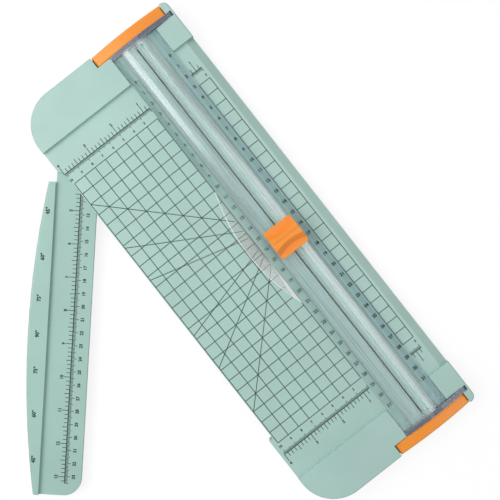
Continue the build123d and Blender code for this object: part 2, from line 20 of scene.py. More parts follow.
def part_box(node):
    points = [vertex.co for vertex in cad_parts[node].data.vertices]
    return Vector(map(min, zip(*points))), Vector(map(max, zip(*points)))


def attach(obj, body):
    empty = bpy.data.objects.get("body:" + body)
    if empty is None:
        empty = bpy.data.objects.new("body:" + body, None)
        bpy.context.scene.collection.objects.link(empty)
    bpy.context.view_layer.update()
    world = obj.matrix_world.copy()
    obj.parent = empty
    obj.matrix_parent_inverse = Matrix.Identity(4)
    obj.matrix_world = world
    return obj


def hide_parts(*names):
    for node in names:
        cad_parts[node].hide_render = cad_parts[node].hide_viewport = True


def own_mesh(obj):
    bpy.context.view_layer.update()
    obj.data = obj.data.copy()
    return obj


Colour = tuple[int, int, int]
Place = tuple[float, float]
Socket = bpy.types.NodeSocket

LOG = logging.getLogger("paper_cutter")
MM = 0.001

# Share of a tick by which the ends of a scale may be off, and the rank of a tick that has a figure.
TICK_SLACK = 0.001
FIGURE_RANK = 2

# Steps along each curve of a letter, half its depth, and how much bolder it is than the font.
LETTER_STEPS = 2
LETTER_HALF_DEPTH = 0.5
LETTER_BOLDER = 0.05

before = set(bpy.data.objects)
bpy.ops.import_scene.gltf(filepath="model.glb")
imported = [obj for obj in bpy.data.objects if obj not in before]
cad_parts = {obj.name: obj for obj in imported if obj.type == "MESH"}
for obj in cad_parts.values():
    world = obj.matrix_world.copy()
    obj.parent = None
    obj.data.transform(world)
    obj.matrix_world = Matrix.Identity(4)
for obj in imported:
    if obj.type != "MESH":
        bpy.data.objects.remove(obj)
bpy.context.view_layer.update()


def linear(colour: Colour, shade: float = 1.0) -> tuple[float, float, float, float]:
    """Turn a colour as seen on a screen into the linear colour that a shader takes.

    Args:
        colour: Red, green and blue from 0 to 255.
        shade: Factor on the linear colour.

    Returns:
        Linear red, green and blue, with an alpha of 1.
    """
    parts = [c / 255.0 for c in colour]
    # The numbers are those of the sRGB standard's own curve.
    light = [p / 12.92 if p <= 0.04045 else ((p + 0.055) / 1.055) ** 2.4 for p in parts]
    return (*(min(1.0, v * shade) for v in light), 1.0)


def cut_line() -> float:
    """Where the cut line lies across the frame, in millimetres."""
    low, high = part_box("cutting_strip")
    return (low.x + high.x) / 2 / MM


class Sheet:
    """The node tree of one material, with the nodes that the finishes share."""

    # Sockets of the mix node that take and give colours.
    MIX_COLOURS = (6, 7)
    MIX_RESULT = 2
    # Cosine of the angle between the true and the rounded normal, off an edge and on it.
    EDGE_RANGE = (0.995, 0.85)
    EDGE_SAMPLES = 4
    # Share of its surroundings that a point sees, in the open and in a hollow.
    HOLLOW_RANGE = (0.98, 0.7)
    HOLLOW_SAMPLES = 8

    def __init__(self, name: str) -> None:
        """Start a material.

        Args:
            name: Name of the material.
        """
        self.material = bpy.data.materials.new(name)
        self.material.use_nodes = True
        self.tree = self.material.node_tree
        self.surface = self.tree.nodes["Principled BSDF"]
        self.place = self.add("ShaderNodeTexCoord").outputs["Object"]

    def add(self, kind: str, **values: float | tuple) -> bpy.types.Node:
        """Add a node and set its sockets.

        Args:
            kind: Blender's type of the node.
            values: Socket values, with underscores for the spaces in the sockets' names.

        Returns:
            The new node.
        """
        node = self.tree.nodes.new(kind)
        for key, value in values.items():
            node.inputs[key.replace("_", " ")].default_value = value
        return node

    def link(self, source: Socket, target: Socket) -> None:
        """Join one socket to another."""
        self.tree.links.new(source, target)

    def set(self, socket: str, value: float | tuple) -> None:
        """Set a constant on the surface shader."""
        self.surface.inputs[socket].default_value = value

    def drive(self, socket: str, source: Socket) -> None:
        """Join a value to the surface shader."""
        self.link(source, self.surface.inputs[socket])

    def roughen(self, source: Socket, middle: float, change: float) -> None:
        """Vary the surface's roughness about a middle value."""
        self.drive("Roughness", self.spread(source, middle - change, middle + change))

    def along(self, axis: str) -> Socket:
        """Tell where a point of the piece lies along one axis.

        Args:
            axis: X, Y or Z.

        Returns:
            The place, in metres.
        """
        split = self.add("ShaderNodeSeparateXYZ")
        self.link(self.place, split.inputs[0])
        return split.outputs[axis]

    def noise(self, size_mm: float, detail: float = 2.0, stretch: tuple = (1, 1, 1)) -> Socket:
        """Noise that is fixed to the piece.

        Args:
            size_mm: About how large one patch is.
            detail: How many finer layers lie on it.
            stretch: Factors on the three axes; below 1 draws the patches out along that axis.

        Returns:
            The noise's value, about 0.3 to 0.7.
        """
        mapping = self.add("ShaderNodeMapping", Scale=stretch)
        self.link(self.place, mapping.inputs["Vector"])
        node = self.add("ShaderNodeTexNoise", Scale=1.0 / (size_mm * MM), Detail=detail)
        self.link(mapping.outputs["Vector"], node.inputs["Vector"])
        return node.outputs["Fac"]

    def spread(
        self, source: Socket, low: float, high: float, start: float = 0.3, end: float = 0.7
    ) -> Socket:
        """Stretch a value to a new range.

        Args:
            source: The value.
            low: Result at the start.
            high: Result at the end.
            start: Value at which the range starts.
            end: Value at which it ends.

        Returns:
            The stretched value.
        """
        node = self.add("ShaderNodeMapRange", From_Min=start, From_Max=end, To_Min=low, To_Max=high)
        self.link(source, node.inputs["Value"])
        return node.outputs["Result"]

    def less(self, source: Socket, share: float = 1.0) -> Socket:
        """Turn a mask into a factor that takes a share away.

        Args:
            source: The mask, from 0 to 1.
            share: How much is taken away where the mask is 1.

        Returns:
            1 where the mask is 0, falling by the share to where it is 1.
        """
        return self.spread(source, 1.0, 1.0 - share, 0.0, 1.0)

    def combine(self, first: Socket, second: Socket, operation: str) -> Socket:
        """Work out one value from two.

        Args:
            first: First value.
            second: Second value.
            operation: Blender's name of the sum.

        Returns:
            The result.
        """
        node = self.add("ShaderNodeMath")
        node.operation = operation
        self.link(first, node.inputs[0])
        self.link(second, node.inputs[1])
        return node.outputs[0]

    def tint(self, factor: Socket, first: Socket | tuple, second: Socket | tuple) -> Socket:
        """Go from one colour to another.

        Args:
            factor: 0 for the first colour, 1 for the second.
            first: A colour, or the socket of one.
            second: A colour, or the socket of one.

        Returns:
            The colour between them.
        """
        node = self.add("ShaderNodeMix")
        node.data_type = "RGBA"
        self.link(factor, node.inputs[0])
        for number, colour in zip(self.MIX_COLOURS, (first, second)):
            if isinstance(colour, tuple):
                node.inputs[number].default_value = colour
            else:
                self.link(colour, node.inputs[number])
        return node.outputs[self.MIX_RESULT]

    def soft_edges(self, radius_mm: float) -> tuple[Socket, Socket]:
        """Round the look of the edges.

        Args:
            radius_mm: Radius of the rounding.

        Returns:
            The rounded normal, and how near an edge is, from 0 to 1.
        """
        bevel = self.add("ShaderNodeBevel", Radius=radius_mm * MM)
        bevel.samples = self.EDGE_SAMPLES
        true_normal = self.add("ShaderNodeNewGeometry").outputs["Normal"]
        dot = self.add("ShaderNodeVectorMath")
        dot.operation = "DOT_PRODUCT"
        self.link(bevel.outputs["Normal"], dot.inputs[0])
        self.link(true_normal, dot.inputs[1])
        return bevel.outputs["Normal"], self.spread(dot.outputs["Value"], 0.0, 1.0, *self.EDGE_RANGE)

    def hollows(self, reach_mm: float) -> Socket:
        """Tell how deep in a hollow a point lies.

        Args:
            reach_mm: How far off the walls of a hollow count.

        Returns:
            0 in the open and 1 deep in a hollow.
        """
        node = self.add("ShaderNodeAmbientOcclusion", Distance=reach_mm * MM)
        node.samples = self.HOLLOW_SAMPLES
        node.only_local = True
        return self.spread(node.outputs["AO"], 0.0, 1.0, *self.HOLLOW_RANGE)

    def grain(self, height: Socket, depth_mm: float, normal: Socket | None = None) -> None:
        """Give the surface a fine relief.

        Args:
            height: The relief's height, from 0 to 1.
            depth_mm: How deep it is.
            normal: The normal that it lies on, if that isn't the mesh's own.
        """
        bump = self.add("ShaderNodeBump", Strength=1.0, Distance=depth_mm * MM)
        self.link(height, bump.inputs["Height"])
        if normal is not None:
            self.link(normal, bump.inputs["Normal"])
        self.drive("Normal", bump.outputs["Normal"])


@dataclass(frozen=True)
class Finish:
    """What a surface is made of."""

    name: str
    colour: Colour

    def material(self) -> bpy.types.Material:
        """Make the finish's material."""
        raise NotImplementedError

    def shaded(self, sheet: Sheet, factor: Socket, shades: tuple[float, float]) -> Socket:
        """Vary the finish's colour.

        Args:
            sheet: The material's nodes.
            factor: 0 for the first shade, 1 for the second.
            shades: Factors on the finish's colour.

        Returns:
            The colour.
        """
        first, second = (linear(self.colour, shade) for shade in shades)
        return sheet.tint(factor, first, second)


@dataclass(frozen=True)
class MouldedPlastic(Finish):
    """Moulded plastic: slightly clouded colour, fine eroded grain, softened edges that are paler with wear
    and as a painted highlight, and painted shade in hollows where a hollow colour is given.
    """

    roughness: float = 0.42
    roughness_change: float = 0.05
    clouding: float = 0.04
    cloud_mm: float = 45.0
    patches_per_cloud: float = 5.0
    grain_mm: float = 0.6
    grain_detail: float = 3.0
    grain_depth_mm: float = 0.008
    # Edges: rounded, and paler with wear and as a painted highlight.
    edge_mm: float = 0.5
    edge_paler: float = 1.22
    # Painted shade: a deeper colour where a point lies in a hollow.
    hollow_colour: Colour | None = None
    hollow_mm: float = 8.0

    def material(self) -> bpy.types.Material:
        """Make the plastic's material.

        Returns:
            The material.
        """
        sheet = Sheet(self.name)
        clouds = sheet.spread(sheet.noise(self.cloud_mm), 0.0, 1.0)
        body = self.shaded(sheet, clouds, (1 - self.clouding, 1 + self.clouding))
        # Painted shade in the hollows.
        if self.hollow_colour:
            body = sheet.tint(sheet.hollows(self.hollow_mm), body, linear(self.hollow_colour))
        normal, edge = sheet.soft_edges(self.edge_mm)
        # Paler edges: wear, and a painted highlight.
        sheet.drive("Base Color", sheet.tint(edge, body, linear(self.colour, self.edge_paler)))
        patches = sheet.noise(self.cloud_mm / self.patches_per_cloud)
        sheet.roughen(patches, self.roughness, self.roughness_change)
        sheet.grain(sheet.noise(self.grain_mm, self.grain_detail), self.grain_depth_mm, normal)
        return sheet.material


@dataclass(frozen=True)
class ClearPlastic(Finish):
    """Clear moulded plastic: drawn-out flow lines, frosted edges, worn places, and painted reflection, shade
    and highlights at its ends and in stripes along it.
    """

    # How it bends light, and how smooth it is.
    index: float = 1.49
    polish_index: float = 2.0
    polish_roughness: float = 0.28
    roughness: float = 0.05
    roughness_change: float = 0.02
    # Flow lines drawn out along the rail, and the streaks that they leave on polished faces.
    flow_mm: float = 1.4
    flow_detail: float = 2.0
    flow_stretch: tuple[float, float, float] = (1, 0.012, 1)
    flow_shades: tuple[float, float] = (0.97, 1.02)
    streak_colour: Colour = (140, 174, 178)
    streak: float = 0.9
    streak_noise: tuple[float, float] = (0.49, 0.66)
    # Frosted edges, and ends clouded violet-grey as a painted reflection.
    frost_colour: Colour = (244, 248, 248)
    edge_mm: float = 0.3
    edge_frost: float = 0.7
    end_colour: Colour = (164, 170, 188)
    end_cloud: float = 0.3
    end_start_mm: float = 177.8
    # Flanges: the left one is darker along a stretch and the right one all along, both as painted shade, and
    # both have a tint of their own beside the hat.
    flange_start_mm: float = 12.6
    left_colour: Colour = (243, 247, 247)
    right_colour: Colour = (225, 235, 240)
    smoky_colour: Colour = (223, 231, 232)
    smoky_mm: tuple[float, float] = (57.0, 200.0)
    inner_colour: Colour = (240, 246, 248)
    inner_mm: float = 15.6
    # Hat: a darker stretch on its left side as painted shade, and a lighter, hazy track on its crown and in
    # the keel's groove below the crown, worn by the keel and also a painted highlight.
    dim_colour: Colour = (176, 196, 198)
    dim_mm: tuple[float, float] = (-5.8, -10.5)
    dim_along_mm: tuple[float, float] = (14.0, 78.0)
    crown_mm: float = 17.3
    track_colour: Colour = (212, 248, 240)
    keel_track_mm: tuple[float, float] = (1.8, 3.6)
    track_haze: float = 0.28
    keel_groove_mm: tuple[float, float] = (3.2, 6.2)
    groove_haze: float = 0.75
    # Finger tab: greyer in the middle, hazy where it is thumbed, and frosted at its rim and its root, where
    # the frost is also a painted highlight.
    tab_start_mm: float = 19.75
    tab_colour: Colour = (248, 250, 250)
    tab_haze: float = 0.03
    tab_grey: Colour = (246, 239, 239)
    tab_grey_mm: tuple[float, float] = (-22.0, 18.0)
    thumbed_colour: Colour = (252, 254, 255)
    thumbed_mm: tuple[float, float] = (-90.0, -18.0)
    thumbed_haze: float = 0.2
    tab_arc_mm: tuple[float, float] = (121.05, 150.05)
    tab_frost: float = 0.85
    root_arc_mm: tuple[float, float] = (-442.6, 422.1)
    root_frost: float = 0.6
    # How soft the sides of these places are, and the ends of a stretch.
    step_mm: float = 0.4
    fade_mm: float = 30.0

    def material(self) -> bpy.types.Material:
        """Make the clear plastic's material.

        Returns:
            The material.
        """
        sheet = Sheet(self.name)
        sheet.set("IOR", self.index)
        sheet.set("Coat IOR", self.polish_index)
        sheet.set("Coat Roughness", self.polish_roughness)
        _, edge = sheet.soft_edges(self.edge_mm)
        flow = sheet.noise(self.flow_mm, self.flow_detail, self.flow_stretch)
        along, across = sheet.along("Y"), sheet.along("X")
        ends = [self.beyond(sheet, along, 0.0, way * self.end_start_mm) for way in (1, -1)]
        at_end = sheet.combine(*ends, "MAXIMUM")
        on_left = self.beyond(sheet, across, cut_line(), -self.flange_start_mm)
        on_right = self.beyond(sheet, across, cut_line(), self.flange_start_mm)
        on_tab = self.beyond(sheet, across, cut_line(), -self.tab_start_mm)
        on_crown = self.beyond(sheet, sheet.along("Z"), 0.0, self.crown_mm)
        inside = sheet.add("ShaderNodeNewGeometry").outputs["Backfacing"]
        dull = sheet.combine(sheet.combine(on_left, on_right, "MAXIMUM"), inside, "MAXIMUM")
        polished = sheet.less(sheet.combine(dull, at_end, "MAXIMUM"))
        sheet.drive("Coat Weight", polished)
        colour = self.shaded(sheet, sheet.spread(flow, 0.0, 1.0), self.flow_shades)
        clear = sheet.less(edge, self.edge_frost)
        thumbed = self.window(sheet, along, on_tab, self.thumbed_mm)
        flow_lines = sheet.spread(flow, 0.0, self.streak, *self.streak_noise)
        streaks = sheet.combine(flow_lines, polished, "MULTIPLY")
        # Painted shade on the hat's left side, on its outer face only.
        shade_stripe = self.stripe(sheet, across, sheet.less(inside), self.dim_mm)
        # The keel's groove: worn haze that is also a painted highlight.
        groove = self.stripe(sheet, across, sheet.less(on_crown), self.keel_groove_mm)
        inner_left = self.stripe(sheet, across, on_left, (-self.flange_start_mm, -self.inner_mm))
        inner_right = self.stripe(sheet, across, on_right, (self.flange_start_mm, self.inner_mm))
        # Tints, some with haze: the dark stripe, the flange shades and the end colour are painted shade and
        # reflection, and the keel's track and groove and the tab's rim and root are partly painted highlight.
        for place, other, haze in (
            (streaks, self.streak_colour, 0.0),
            (self.window(sheet, along, shade_stripe, self.dim_along_mm), self.dim_colour, 0.0),
            (on_left, self.left_colour, 0.0),
            (self.window(sheet, along, on_left, self.smoky_mm), self.smoky_colour, 0.0),
            (on_right, self.right_colour, 0.0),
            (sheet.combine(inner_left, inner_right, "MAXIMUM"), self.inner_colour, 0.0),
            (self.stripe(sheet, across, on_crown, self.keel_track_mm), self.track_colour, self.track_haze),
            (groove, self.track_colour, self.groove_haze),
            (on_tab, self.tab_colour, self.tab_haze),
            (self.window(sheet, along, on_tab, self.tab_grey_mm), self.tab_grey, 0.0),
            (thumbed, self.thumbed_colour, self.thumbed_haze),
            # The tab's rim and root: frost, and a painted highlight.
            (self.beyond_arc(sheet, on_tab, self.tab_arc_mm), self.frost_colour, self.tab_frost),
            (self.beyond_arc(sheet, thumbed, self.root_arc_mm), self.frost_colour, self.root_frost),
            (at_end, self.end_colour, self.end_cloud),
        ):
            colour = sheet.tint(place, colour, linear(other))
            if haze:
                clear = sheet.combine(clear, sheet.less(place, haze), "MULTIPLY")
        sheet.drive("Base Color", sheet.tint(edge, colour, linear(self.frost_colour)))
        sheet.drive("Transmission Weight", clear)
        sheet.roughen(flow, self.roughness, self.roughness_change)
        return sheet.material

    def stripe(self, sheet: Sheet, across: Socket, part: Socket, sides_mm: tuple[float, float]) -> Socket:
        """Tell what lies in a stripe along the rail.

        Args:
            sheet: The material's nodes.
            across: Where a point lies across the rail.
            part: 1 on the part of the rail that has the stripe.
            sides_mm: The stripe's sides from the cut line, both on one side of it, the nearer one first.

        Returns:
            1 in the stripe and 0 beside it.
        """
        sides = [self.beyond(sheet, across, cut_line(), side) for side in sides_mm]
        return sheet.combine(sheet.combine(*sides, "SUBTRACT"), part, "MULTIPLY")

    def window(self, sheet: Sheet, along: Socket, part: Socket, ends_mm: tuple[float, float]) -> Socket:
        """Tell what lies on a stretch of the rail, with soft ends.

        Args:
            sheet: The material's nodes.
            along: Where a point lies along the rail.
            part: 1 on the part of the rail that has the stretch.
            ends_mm: Where the stretch starts and ends, at half strength.

        Returns:
            1 on the stretch, falling to 0 past its ends.
        """
        half = self.fade_mm / 2
        near, far = ends_mm
        rising = sheet.spread(along, 0.0, 1.0, (near - half) * MM, (near + half) * MM)
        falling = sheet.spread(along, 1.0, 0.0, (far - half) * MM, (far + half) * MM)
        return sheet.combine(sheet.combine(rising, falling, "MULTIPLY"), part, "MULTIPLY")

    def beyond_arc(self, sheet: Sheet, part: Socket, arc_mm: tuple[float, float]) -> Socket:
        """Tell what lies outside an arc about a point abreast of the middle of the bed.

        Args:
            sheet: The material's nodes.
            part: 1 on the part of the rail that has the arc.
            arc_mm: How far the point lies from the cut line, and the arc's radius, seen from above.

        Returns:
            1 outside the arc and 0 inside it.
        """
        centre, radius = arc_mm
        flat = sheet.add("ShaderNodeMapping", Scale=(1.0, 1.0, 0.0))
        sheet.link(sheet.place, flat.inputs["Vector"])
        distance = sheet.add("ShaderNodeVectorMath")
        distance.operation = "DISTANCE"
        distance.inputs[1].default_value = ((cut_line() + centre) * MM, 0.0, 0.0)
        sheet.link(flat.outputs["Vector"], distance.inputs[0])
        return sheet.combine(self.beyond(sheet, distance.outputs["Value"], 0.0, radius), part, "MULTIPLY")

    def beyond(self, sheet: Sheet, place: Socket, middle_mm: float, start_mm: float) -> Socket:
        """Tell what lies further out than a start.

        Args:
            sheet: The material's nodes.
            place: Where a point lies along one axis.
            middle_mm: What the start is measured from.
            start_mm: The start, whose sign says which way is out.

        Returns:
            1 beyond the start and 0 inside it.
        """
        step = math.copysign(self.step_mm, start_mm)
        start = middle_mm + start_mm
        return sheet.spread(place, 0.0, 1.0, start * MM, (start + step) * MM)


@dataclass(frozen=True)
class PrintInk(Finish):
    """Pad-printed ink, a little thin in places."""

    thin: float
    patch_mm: float = 3.5
    patch_detail: float = 4.0
    patch_noise: tuple[float, float] = (0.42, 0.75)
    roughness: float = 0.55
    roughness_change: float = 0.1
    rough_mm: float = 0.8
    grain_mm: float = 0.3
    grain_depth_mm: float = 0.002

    def material(self) -> bpy.types.Material:
        """Make the ink's material.

        Returns:
            The material.
        """
        sheet = Sheet(self.name)
        patches = sheet.noise(self.patch_mm, self.patch_detail)
        thinned = sheet.spread(patches, 0.0, 1.0, *self.patch_noise)
        sheet.drive("Base Color", self.shaded(sheet, thinned, (1.0, self.thin)))
        sheet.roughen(sheet.noise(self.rough_mm), self.roughness, self.roughness_change)
        sheet.grain(sheet.noise(self.grain_mm), self.grain_depth_mm)
        return sheet.material


@dataclass(frozen=True)
class DrawnSteel(Finish):
    """Bright steel with fine drawing lines."""

    roughness: float = 0.29
    roughness_change: float = 0.09
    line_mm: float = 0.25
    line_detail: float = 3.0
    line_stretch: tuple[float, float, float] = (1, 0.05, 1)
    line_shades: tuple[float, float] = (0.85, 1.0)
    line_depth_mm: float = 0.004
    edge_mm: float = 0.15

    def material(self) -> bpy.types.Material:
        """Make the steel's material.

        Returns:
            The material.
        """
        sheet = Sheet(self.name)
        sheet.set("Metallic", 1.0)
        lines = sheet.noise(self.line_mm, self.line_detail, self.line_stretch)
        sheet.drive("Base Color", self.shaded(sheet, sheet.spread(lines, 0.0, 1.0), self.line_shades))
        sheet.roughen(lines, self.roughness, self.roughness_change)
        normal, _ = sheet.soft_edges(self.edge_mm)
        sheet.grain(lines, self.line_depth_mm, normal)
        return sheet.material


@dataclass(frozen=True)
class FootRubber(Finish):
    """Dull soft rubber with dust in its pores."""

    roughness: float = 0.85
    roughness_change: float = 0.1
    pore_mm: float = 0.7
    pore_detail: float = 4.0
    pore_shades: tuple[float, float] = (0.7, 1.5)
    pore_depth_mm: float = 0.05
    edge_mm: float = 0.4

    def material(self) -> bpy.types.Material:
        """Make the rubber's material.

        Returns:
            The material.
        """
        sheet = Sheet(self.name)
        pores = sheet.noise(self.pore_mm, self.pore_detail)
        sheet.drive("Base Color", self.shaded(sheet, sheet.spread(pores, 0.0, 1.0), self.pore_shades))
        sheet.roughen(pores, self.roughness, self.roughness_change)
        normal, _ = sheet.soft_edges(self.edge_mm)
        sheet.grain(pores, self.pore_depth_mm, normal)
        return sheet.material


GREEN = MouldedPlastic("green_plastic_moulded", (172, 206, 198))
# The tray's green, darkened as painted shade on the ruler, which gets less light.
RULER_GREEN_SHADED = MouldedPlastic("ruler_plastic_moulded", (160, 195, 186))
# Its strongly paler edges are a painted highlight on the cap's crest lines, and its hollow colour is painted
# shade.
ORANGE = MouldedPlastic(
    "orange_plastic_moulded",
    (255, 151, 40),
    roughness=0.36,
    clouding=0.03,
    edge_mm=0.9,
    edge_paler=1.5,
    hollow_colour=(255, 112, 16),
)
WHITE = MouldedPlastic("white_plastic_moulded", (236, 234, 230), roughness=0.38, clouding=0.02)
DARK = MouldedPlastic("dark_strip_moulded", (104, 136, 127), roughness=0.6, edge_mm=0.1, cloud_mm=12.0)
CLEAR = ClearPlastic("clear_plastic_moulded", (240, 248, 251))
INK = PrintInk("scale_ink", (10, 38, 32), thin=1.5)
WORN_INK = PrintInk("worn_scale_ink", (72, 98, 94), thin=1.6)
STEEL = DrawnSteel("drawn_steel", (205, 207, 210))
RUBBER = FootRubber("foot_rubber_pored", (52, 54, 55))


@cache
def coat(finish: Finish) -> bpy.types.Material:
    """Make each finish's material once."""
    return finish.material()


def dress(node: str, finish: Finish) -> None:
    """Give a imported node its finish.

    Args:
        node: Name of the node.
        finish: What it is made of.
    """
    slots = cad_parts[node].data.materials
    slots.clear()
    slots.append(coat(finish))
    LOG.info("%s is %s", node, finish.name)


def add_piece(name: str, mesh: bpy.types.Mesh, body: str, finish: Finish) -> bpy.types.Object:
    """Put a new mesh into the scene, on its body and in its finish.

    Args:
        name: Name of the piece.
        mesh: Its mesh, in the frame's metres.
        body: The body that it moves with.
        finish: What it is made of.

    Returns:
        The piece.
    """
    piece = bpy.data.objects.new(name, mesh)
    bpy.context.scene.collection.objects.link(piece)
    mesh.materials.append(coat(finish))
    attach(piece, body)
    LOG.info("%s rides on %s with %d faces", name, body, len(mesh.polygons))
    return piece


def mesh_of(curve: bpy.types.Curve) -> bpy.types.Mesh:
    """Turn a curve into a mesh, and delete the curve.

    Args:
        curve: The curve.

    Returns:
        The mesh.
    """
    holder = bpy.data.objects.new(curve.name, curve)
    bpy.context.scene.collection.objects.link(holder)
    mesh = bpy.data.meshes.new_from_object(holder.evaluated_get(bpy.context.evaluated_depsgraph_get()))
    bpy.data.objects.remove(holder)
    bpy.data.curves.remove(curve)
    return mesh


class Unit(Enum):
    """What a printed scale counts in.

    The values are millimetres between ticks, ticks to a figure, and the width of a tick in millimetres.
    """

    MILLIMETRE = (1.0, 10, 0.5)
    EIGHTH_INCH = (3.175, 8, 0.5)

    @property
    def whole(self) -> float:
        """Millimetres from one figure to the next."""
        return self.value[0] * self.value[1]

    @property
    def stroke(self) -> float:
        """Width of a tick in millimetres."""
        return self.value[2]

    def ticks(self, first: float, last: float) -> Iterator[tuple[float, int]]:
        """Where the ticks of a stretch of scale lie.

        Args:
            first: Reading at which the stretch starts, in figures.
            last: Reading at which it ends.

        Returns:
            The reading in figures of each tick, with 2 for a whole figure, 1 for a half and 0 for the rest.
        """
        count = self.value[1]
        start = math.ceil(first * count - TICK_SLACK)
        end = math.floor(last * count + TICK_SLACK)
        for number in range(start, end + 1):
            yield number / count, FIGURE_RANK if number % count == 0 else int(number % count == count // 2)


class Printing:
    """Flat printing on one surface, gathered into closed meshes a few hundredths of a millimetre thick."""

    # Gap under each layer of marks, thickness of a mark, and distance below which two points are one.
    HAIR = 0.004
    DEPTH = 0.02
    MERGE = 0.0008

    def __init__(self, name: str, body: str, level: float, place: Matrix) -> None:
        """Start a print.

        Args:
            name: Name of the pieces.
            body: The body that the printed surface belongs to.
            level: Height of the printed surface.
            place: Where the print's own X and Y lie in the frame, in millimetres.
        """
        self.name = name
        self.body = body
        self.level = level
        self.place = Matrix.Scale(MM, 4) @ place
        self.meshes: dict[str, bmesh.types.BMesh] = {}

    def layer(self, kind: str) -> tuple[bmesh.types.BMesh, float]:
        """Find the mesh of one kind of mark; each later kind lies a hair higher.

        Args:
            kind: The kind of mark.

        Returns:
            The mesh, and the height of its underside.
        """
        if kind not in self.meshes:
            self.meshes[kind] = bmesh.new()
        return self.meshes[kind], self.level + self.HAIR * (1 + list(self.meshes).index(kind))

    def bar(self, kind: str, start: Place, end: Place, width: float) -> None:
        """Print a straight line.

        Args:
            kind: Which mesh it belongs to.
            start: One end.
            end: The other end.
            width: Width of the line.
        """
        mesh, low = self.layer(kind)
        first, last = Vector(start), Vector(end)
        side = (last - first).normalized().orthogonal() * width / 2
        ring = (first + side, first - side, last - side, last + side)
        under = [mesh.verts.new((p.x, p.y, low)) for p in ring]
        over = [mesh.verts.new((p.x, p.y, low + self.DEPTH)) for p in ring]
        mesh.faces.new(under)
        mesh.faces.new(over)
        for n in range(len(ring)):
            mesh.faces.new((under[n], under[n - 1], over[n - 1], over[n]))

    def figure(self, kind: str, text: str, centre: Place, height: float, turn: float = 0.0) -> None:
        """Print a number.

        Args:
            kind: Which mesh it belongs to.
            text: The number.
            centre: Where its middle lies.
            height: Height of its digits.
            turn: How far it is turned, in degrees.
        """
        mesh, low = self.layer(kind)
        letters = letter_mesh(text).copy()
        size = Matrix.Diagonal((height, height, self.DEPTH, 1.0))
        turned = Matrix.Rotation(math.radians(turn), 4, "Z")
        letters.transform(Matrix.Translation((*centre, low + self.DEPTH / 2)) @ turned @ size)
        mesh.from_mesh(letters)
        bpy.data.meshes.remove(letters)

    def finish(self, **inks: Finish) -> None:
        """Put every kind of mark into the scene as one piece.

        Args:
            inks: The ink of each kind of mark that isn't in the usual one.
        """
        for kind, gathered in self.meshes.items():
            bmesh.ops.transform(gathered, matrix=self.place, verts=gathered.verts)
            bmesh.ops.remove_doubles(gathered, verts=gathered.verts, dist=self.MERGE * MM)
            bmesh.ops.recalc_face_normals(gathered, faces=gathered.faces)
            mesh = bpy.data.meshes.new(f"{self.name}_{kind}")
            gathered.to_mesh(mesh)
            gathered.free()
            add_piece(mesh.name, mesh, self.body, inks.get(kind, INK))


@cache
def letter_mesh(text: str) -> bpy.types.Mesh:
    """The closed mesh of a short text, one unit high and thick, with its middle at the origin.

    Args:
        text: Digits and signs.

    Returns:
        The mesh.
    """
    curve = bpy.data.curves.new("letters", "FONT")
    curve.body = text
    curve.resolution_u = LETTER_STEPS
    curve.extrude = LETTER_HALF_DEPTH
    curve.offset = LETTER_BOLDER
    mesh = mesh_of(curve)
    places = [v.co for v in mesh.vertices]
    low = Vector((min(p.x for p in places), min(p.y for p in places), 0))
    high = Vector((max(p.x for p in places), max(p.y for p in places), 0))
    size = high.y - low.y
    mesh.transform(Matrix.Diagonal((1 / size, 1 / size, 1, 1)) @ Matrix.Translation(-(low + high) / 2))
    return mesh


